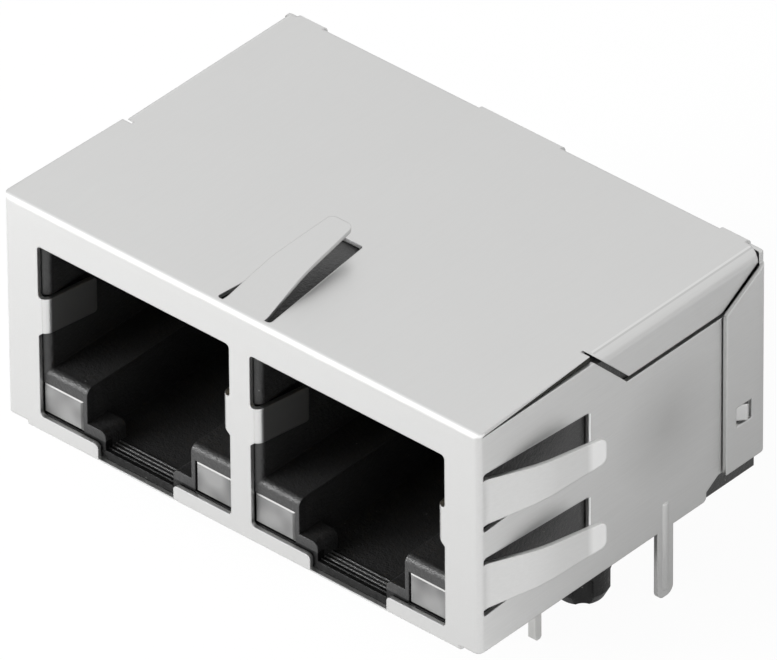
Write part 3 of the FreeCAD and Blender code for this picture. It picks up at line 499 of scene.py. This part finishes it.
# %% Contacts
def gold_plating():
    material, paint = new_material("gold_plating")
    wear = paint.noise(3.5, stretch=(1, 0.3, 1), detail=3)
    colour = paint.mix(wear, (0.86, 0.62, 0.27), (0.92, 0.72, 0.38))
    paint.surface(Base_Color=colour, Metallic=1.0, Roughness=0.2 + wear * 0.12,
                  Normal=paint.bump(wear, 0.002, 0.4))
    return material

# %% Leads
def tinned_wire():
    material, paint = new_material("tinned_wire")
    dip = paint.noise(1.6, stretch=(1, 1, 0.35), detail=3)
    colour = paint.mix(dip, (0.68, 0.68, 0.66), (0.80, 0.80, 0.79))
    paint.surface(Base_Color=colour, Metallic=1.0, Roughness=0.28 + dip * 0.14,
                  Normal=paint.bump(dip, 0.01, 0.4))
    return material

# %% [markdown]
# ## Giving each piece its finish
#
# The pieces already have names, and the first words of each name say what it is. One small
# table is enough to dress all of them, and a new piece with a known name needs no extra
# line. A lamp's lead starts with the same word as the lamp, so the longest start that fits
# is the one that counts.

# %% Dress the pieces
FINISHES = {
    "shield": plated_sheet(),
    "housing": black_polymer("housing_polymer", 0.009),
    "contact_carrier": black_polymer("carrier_polymer", 0.012),
    "lamp_lead": tinned_wire(),
    "lamp": frosted_lamp(),
    "contact": gold_plating(),
}


def finish_of(name):
    fitting = [start for start in FINISHES if name.startswith(start)]
    return FINISHES[max(fitting, key=len)]


for name, piece in nodes.items():
    piece.data.materials.clear()
    piece.data.materials.append(finish_of(name))
for finish in FINISHES.values():
    print(f"{finish.name}: {finish.users} pieces, {len(finish.node_tree.nodes)} nodes")

# %% [markdown]
# ## The floor
#
# The picture has a bright studio: a pale floor, a white surround and large soft lamps. A
# metal object is lit by what stands round it, so the surround matters more than the lamps.
# The floor is one square at the level of the object's lowest point.

# %% Floor
FLOOR_SIZE = 2.0
half = FLOOR_SIZE / 2
floor_level = model_box[0][2]
corners = [(x * half, y * half, floor_level) for x, y in ((-1, -1), (1, -1), (1, 1), (-1, 1))]
floor_mesh = bpy.data.meshes.new("floor")
floor_mesh.from_pydata(corners, [], [(0, 1, 2, 3)])
floor = bpy.data.objects.new("floor", floor_mesh)
bpy.context.scene.collection.objects.link(floor)
print(f"floor {FLOOR_SIZE} m wide at {floor_level / MM:.2f} mm")

# %% [markdown]
# ### White only where it is seen
#
# The camera sees the surround as plain white, and so do reflections. Light Path tells these
# rays from the ones that carry light on to dull surfaces, so this white adds no light. On
# the floor it is only a share of the mix, so that the object's shadow stays. The share is
# smaller in reflections, and there the shadow makes the right wall greyer than the front.

# %% The floor's white share
FLOOR_TONE = 0.88
SEEN_SHARE, MIRRORED_SHARE = 0.96, 0.3
RAYS = ("Is Camera Ray", "Is Glossy Ray", "Is Transmission Ray")


def pale_floor():
    material, paint = new_material("pale_floor")
    seen, glossy, through = (paint.node("ShaderNodeLightPath", output=ray) for ray in RAYS)
    white_share = seen * SEEN_SHARE + (glossy + through) * MIRRORED_SHARE
    colour = (FLOOR_TONE, FLOOR_TONE, FLOOR_TONE, 1)
    dull = paint.node("ShaderNodeBsdfDiffuse", None, {"Color": colour})
    white = paint.node("ShaderNodeEmission", None, {"Color": (1, 1, 1, 1), "Strength": 1.0})
    both = paint.node("ShaderNodeMixShader", None, {0: white_share, 1: dull, 2: white})
    paint.node("ShaderNodeOutputMaterial", None, {"Surface": both})
    return material


floor_mesh.materials.append(pale_floor())
print(f"floor: {SEEN_SHARE} white to the camera, {MIRRORED_SHARE} in reflections")

# %% [markdown]
# ### The world
#
# The world uses the same three kinds of ray. It is plain white to them, and weaker to all
# others, so that it fills the shadows without washing them out.

# %% World
AMBIENT = 0.42
world = bpy.data.worlds.new("studio")
bpy.context.scene.world = world
world.use_nodes = True
sky = Paint(world.node_tree)
seen, glossy, through = (sky.node("ShaderNodeLightPath", output=ray) for ray in RAYS)
special = sky.node("ShaderNodeMath", {"operation": "MINIMUM"}, {0: seen + glossy + through, 1: 1.0})
strength = AMBIENT + special * (1 - AMBIENT)
white = sky.node("ShaderNodeBackground", None, {"Color": (1, 1, 1, 1), "Strength": strength})
sky.node("ShaderNodeOutputWorld", None, {"Surface": white})
print(f"world: 1.0 where it is seen, {AMBIENT} as light")

# %% [markdown]
# ## Lamps round the object
#
# A lamp's power is worked out from a brightness, in which 1 is as bright as white paper.
# That makes lamps of different sizes easy to compare.

# %% A soft lamp
def soft_lamp(name, direction, distance, size, brightness):
    """A square lamp in a direction from the object, which it faces."""
    data = bpy.data.lights.new(name, "AREA")
    data.shape = "SQUARE"
    data.size = size
    data.energy = brightness * math.pi * size ** 2
    lamp = bpy.data.objects.new(name, data)
    way = Vector(direction).normalized()
    facing = way.to_track_quat("Z", "Y").to_matrix().to_4x4()
    lamp.matrix_world = Matrix.Translation(AIM + way * distance) @ facing
    bpy.context.scene.collection.objects.link(lamp)
    print(f"{name} lamp: {data.energy:.2f} W")
    return lamp

# %% [markdown]
# The key lamp stands in front on the left, so the object's soft shadow falls behind it on
# the right. Its own mirror image would burn out the top in a view from behind, so it is
# hidden from reflections: it lights the floor, and the front of the sheet shows that floor.
# A weak lamp in nearly the same place gives back a little sheen.

# %% Key and sheen lamps
key = soft_lamp("key", (-0.55, -0.80, 0.33), distance=0.30, size=0.24, brightness=13.4)
key.visible_glossy = False
soft_lamp("sheen", (-0.55, -0.80, 0.42), distance=0.31, size=0.24, brightness=0.45)

# %% [markdown]
# The black pieces need a sharp glint on their edges, which would be too much for the metal.
# Light linking solves that: the glint lamp shines only on the pieces of one collection. The
# last lamp stands on the right and lifts the right wall.

# %% Glint and right lamps
dark_pieces = bpy.data.collections.new("dark_pieces")
for name, piece in nodes.items():
    if name.startswith(("housing", "contact_carrier")):
        dark_pieces.objects.link(piece)
glint = soft_lamp("glint", (-0.541, -0.755, 0.37), distance=0.29, size=0.07, brightness=30.0)
glint.light_linking.receiver_collection = dark_pieces
soft_lamp("right", (0.9, -0.55, 0.35), distance=0.30, size=0.12, brightness=1.6)

# %% [markdown]
# ## Last steps
#
# The Standard view transform shows a colour as it is written.

# %% View transform
bpy.context.scene.view_settings.view_transform = "Standard"
